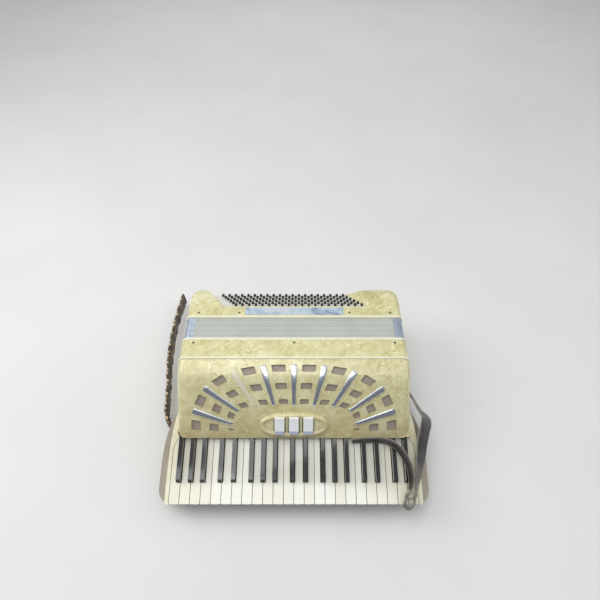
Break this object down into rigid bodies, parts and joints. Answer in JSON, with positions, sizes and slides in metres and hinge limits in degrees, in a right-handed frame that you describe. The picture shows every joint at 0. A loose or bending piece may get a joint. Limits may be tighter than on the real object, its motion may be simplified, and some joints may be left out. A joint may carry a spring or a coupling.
{
  "type": "piano accordion",
  "caption": "Pearloid piano accordion on its back: piano keyboard, fan grille with rocker registers, folding bellows, bass buttons on a sloped board, shoulder straps unbuckled.",
  "frame": {"origin": "middle of the back of the treble casing, in the plane where the bellows start", "axes": "+X from the low keys (chin end) to the high keys (knee end), +Y from the keyboard towards the bass side along the bellows, +Z out of the grille; the instrument lies on its back on Z = 0"},
  "size_m": [0.582, 0.5353, 0.203],
  "materials": {
    "pearloid": "swirled cream pearloid celluloid",
    "cream_moulding": "polished ivory celluloid",
    "white_key": "polished, slightly yellowed",
    "black_key": "polished black",
    "black_plastic": "black",
    "chrome": "polished, hazed with age",
    "steel": "plain",
    "reed_metal": "plain",
    "wood": "unfinished spruce and maple",
    "cloth": "open weave",
    "felt": "pressed felt",
    "bellows_card": "patterned bellows tape on card",
    "leather": "worn",
    "foot_rubber": "matt"
  },
  "bodies": {
    "treble_side": {"treble_casing": "pearloid", "treble_soundboard": "wood", "treble_reed_blocks": "wood", "treble_reed_plates": "reed_metal", "treble_grille": "pearloid", "grille_moulding": "cream_moulding", "grille_slats": "chrome", "grille_cloth": "cloth", "register_frame": "steel", "register_axle": "steel", "keyboard_bed": "pearloid", "keyboard_cheeks": "cream_moulding", "keyboard_felt": "felt", "key_axle": "steel", "key_springs": "steel", "strap_brackets": "steel", "shoulder_strap_chin": "leather", "shoulder_strap_knee": "leather", "treble_bellows_frame": "cream_moulding", "treble_bellows_pins": "steel", "bellows_strap_screws": "chrome"},
    "register_switch_1": {"register_switch_1": "cream_moulding"},
    "register_switch_2": {"register_switch_2": "cream_moulding"},
    "register_switch_3": {"register_switch_3": "cream_moulding"},
    "keys_f": {"keys_f": "white_key"},
    "keys_f_sharp": {"keys_f_sharp": "black_key"},
    "keys_g": {"keys_g": "white_key"},
    "keys_g_sharp": {"keys_g_sharp": "black_key"},
    "keys_a": {"keys_a": "white_key"},
    "keys_a_sharp": {"keys_a_sharp": "black_key"},
    "keys_b": {"keys_b": "white_key"},
    "keys_c": {"keys_c": "white_key"},
    "keys_c_sharp": {"keys_c_sharp": "black_key"},
    "keys_d": {"keys_d": "white_key"},
    "keys_d_sharp": {"keys_d_sharp": "black_key"},
    "keys_e": {"keys_e": "white_key"},
    "bellows_strap_chin": {"bellows_strap_chin": "leather"},
    "bellows_strap_knee": {"bellows_strap_knee": "leather"},
    "bellows_folds_1": {"bellows_folds_1": "bellows_card"},
    "bellows_folds_2": {"bellows_folds_2": "bellows_card"},
    "bellows_folds_3": {"bellows_folds_3": "bellows_card"},
    "bellows_folds_4": {"bellows_folds_4": "bellows_card"},
    "bass_side": {"bass_bellows_frame": "cream_moulding", "bass_bellows_pins": "steel", "bass_casing": "pearloid", "bass_front_plate": "chrome", "button_board": "cream_moulding", "bass_soundboard": "wood", "bass_reed_blocks": "wood", "bass_cover": "pearloid", "bass_feet": "foot_rubber", "bass_strap": "leather"},
    "buttons_counterbass": {"buttons_counterbass": "black_plastic"},
    "buttons_bass": {"buttons_bass": "black_plastic"},
    "buttons_major": {"buttons_major": "black_plastic"},
    "buttons_minor": {"buttons_minor": "black_plastic"},
    "buttons_seventh": {"buttons_seventh": "black_plastic"},
    "buttons_diminished": {"buttons_diminished": "black_plastic"},
    "strap_wheel": {"strap_wheel": "chrome"},
    "air_button": {"air_button": "chrome"}
  },
  "joints": [
    {"name": "keys_f_press", "type": "hinge", "parent": "treble_side", "child": "keys_f", "pos_m": [0, -0.073, 0.1], "axis": [1, 0, 0], "range_deg": [0, 1.3]},
    {"name": "keys_f_sharp_press", "type": "hinge", "parent": "treble_side", "child": "keys_f_sharp", "pos_m": [0, -0.073, 0.1], "axis": [1, 0, 0], "range_deg": [0, 1.3]},
    {"name": "keys_g_press", "type": "hinge", "parent": "treble_side", "child": "keys_g", "pos_m": [0, -0.073, 0.1], "axis": [1, 0, 0], "range_deg": [0, 1.3]},
    {"name": "keys_g_sharp_press", "type": "hinge", "parent": "treble_side", "child": "keys_g_sharp", "pos_m": [0, -0.073, 0.1], "axis": [1, 0, 0], "range_deg": [0, 1.3]},
    {"name": "keys_a_press", "type": "hinge", "parent": "treble_side", "child": "keys_a", "pos_m": [0, -0.073, 0.1], "axis": [1, 0, 0], "range_deg": [0, 1.3]},
    {"name": "keys_a_sharp_press", "type": "hinge", "parent": "treble_side", "child": "keys_a_sharp", "pos_m": [0, -0.073, 0.1], "axis": [1, 0, 0], "range_deg": [0, 1.3]},
    {"name": "keys_b_press", "type": "hinge", "parent": "treble_side", "child": "keys_b", "pos_m": [0, -0.073, 0.1], "axis": [1, 0, 0], "range_deg": [0, 1.3]},
    {"name": "keys_c_press", "type": "hinge", "parent": "treble_side", "child": "keys_c", "pos_m": [0, -0.073, 0.1], "axis": [1, 0, 0], "range_deg": [0, 1.3]},
    {"name": "keys_c_sharp_press", "type": "hinge", "parent": "treble_side", "child": "keys_c_sharp", "pos_m": [0, -0.073, 0.1], "axis": [1, 0, 0], "range_deg": [0, 1.3]},
    {"name": "keys_d_press", "type": "hinge", "parent": "treble_side", "child": "keys_d", "pos_m": [0, -0.073, 0.1], "axis": [1, 0, 0], "range_deg": [0, 1.3]},
    {"name": "keys_d_sharp_press", "type": "hinge", "parent": "treble_side", "child": "keys_d_sharp", "pos_m": [0, -0.073, 0.1], "axis": [1, 0, 0], "range_deg": [0, 1.3]},
    {"name": "keys_e_press", "type": "hinge", "parent": "treble_side", "child": "keys_e", "pos_m": [0, -0.073, 0.1], "axis": [1, 0, 0], "range_deg": [0, 1.3]},
    {"name": "register_1_rock", "type": "hinge", "parent": "treble_side", "child": "register_switch_1", "pos_m": [0, -0.13794, 0.1167], "axis": [1, 0, 0], "range_deg": [-3, 3]},
    {"name": "register_2_rock", "type": "hinge", "parent": "treble_side", "child": "register_switch_2", "pos_m": [0, -0.13794, 0.1167], "axis": [1, 0, 0], "range_deg": [-3, 3]},
    {"name": "register_3_rock", "type": "hinge", "parent": "treble_side", "child": "register_switch_3", "pos_m": [0, -0.13794, 0.1167], "axis": [1, 0, 0], "range_deg": [-3, 3]},
    {"name": "bellows_open", "type": "slide", "parent": "treble_side", "child": "bass_side", "axis": [0, 1, 0], "range_m": [0, 0.38]},
    {"name": "bellows_folds_1_slide", "type": "slide", "parent": "treble_side", "child": "bellows_folds_1", "axis": [0, 1, 0], "range_m": [0, 0.076]},
    {"name": "bellows_folds_2_slide", "type": "slide", "parent": "treble_side", "child": "bellows_folds_2", "axis": [0, 1, 0], "range_m": [0, 0.152]},
    {"name": "bellows_folds_3_slide", "type": "slide", "parent": "treble_side", "child": "bellows_folds_3", "axis": [0, 1, 0], "range_m": [0, 0.228]},
    {"name": "bellows_folds_4_slide", "type": "slide", "parent": "treble_side", "child": "bellows_folds_4", "axis": [0, 1, 0], "range_m": [0, 0.304]},
    {"name": "bellows_strap_chin_swing", "type": "hinge", "parent": "treble_side", "child": "bellows_strap_chin", "pos_m": [-0.2275, -0.02, 0.1], "axis": [1, 0, 0], "range_deg": [0, 90]},
    {"name": "bellows_strap_knee_swing", "type": "hinge", "parent": "treble_side", "child": "bellows_strap_knee", "pos_m": [0.2275, -0.02, 0.1], "axis": [1, 0, 0], "range_deg": [0, 90]},
    {"name": "buttons_counterbass_press", "type": "slide", "parent": "bass_side", "child": "buttons_counterbass", "axis": [0, -0.4848, -0.8746], "range_m": [0, 0.0035]},
    {"name": "buttons_bass_press", "type": "slide", "parent": "bass_side", "child": "buttons_bass", "axis": [0, -0.4848, -0.8746], "range_m": [0, 0.0035]},
    {"name": "buttons_major_press", "type": "slide", "parent": "bass_side", "child": "buttons_major", "axis": [0, -0.4848, -0.8746], "range_m": [0, 0.0035]},
    {"name": "buttons_minor_press", "type": "slide", "parent": "bass_side", "child": "buttons_minor", "axis": [0, -0.4848, -0.8746], "range_m": [0, 0.0035]},
    {"name": "buttons_seventh_press", "type": "slide", "parent": "bass_side", "child": "buttons_seventh", "axis": [0, -0.4848, -0.8746], "range_m": [0, 0.0035]},
    {"name": "buttons_diminished_press", "type": "slide", "parent": "bass_side", "child": "buttons_diminished", "axis": [0, -0.4848, -0.8746], "range_m": [0, 0.0035]},
    {"name": "strap_wheel_turn", "type": "hinge", "parent": "bass_side", "child": "strap_wheel", "pos_m": [-0.225, 0.144, 0.06], "axis": [1, 0, 0], "continuous": true},
    {"name": "air_button_press", "type": "slide", "parent": "bass_side", "child": "air_button", "axis": [0, -1, 0], "range_m": [0, 0.004]}
  ],
  "couplings": [
    {"joint": "bellows_folds_1_slide", "follows": "bellows_open", "ratio": 0.2},
    {"joint": "bellows_folds_2_slide", "follows": "bellows_open", "ratio": 0.4},
    {"joint": "bellows_folds_3_slide", "follows": "bellows_open", "ratio": 0.6},
    {"joint": "bellows_folds_4_slide", "follows": "bellows_open", "ratio": 0.8}
  ]
}
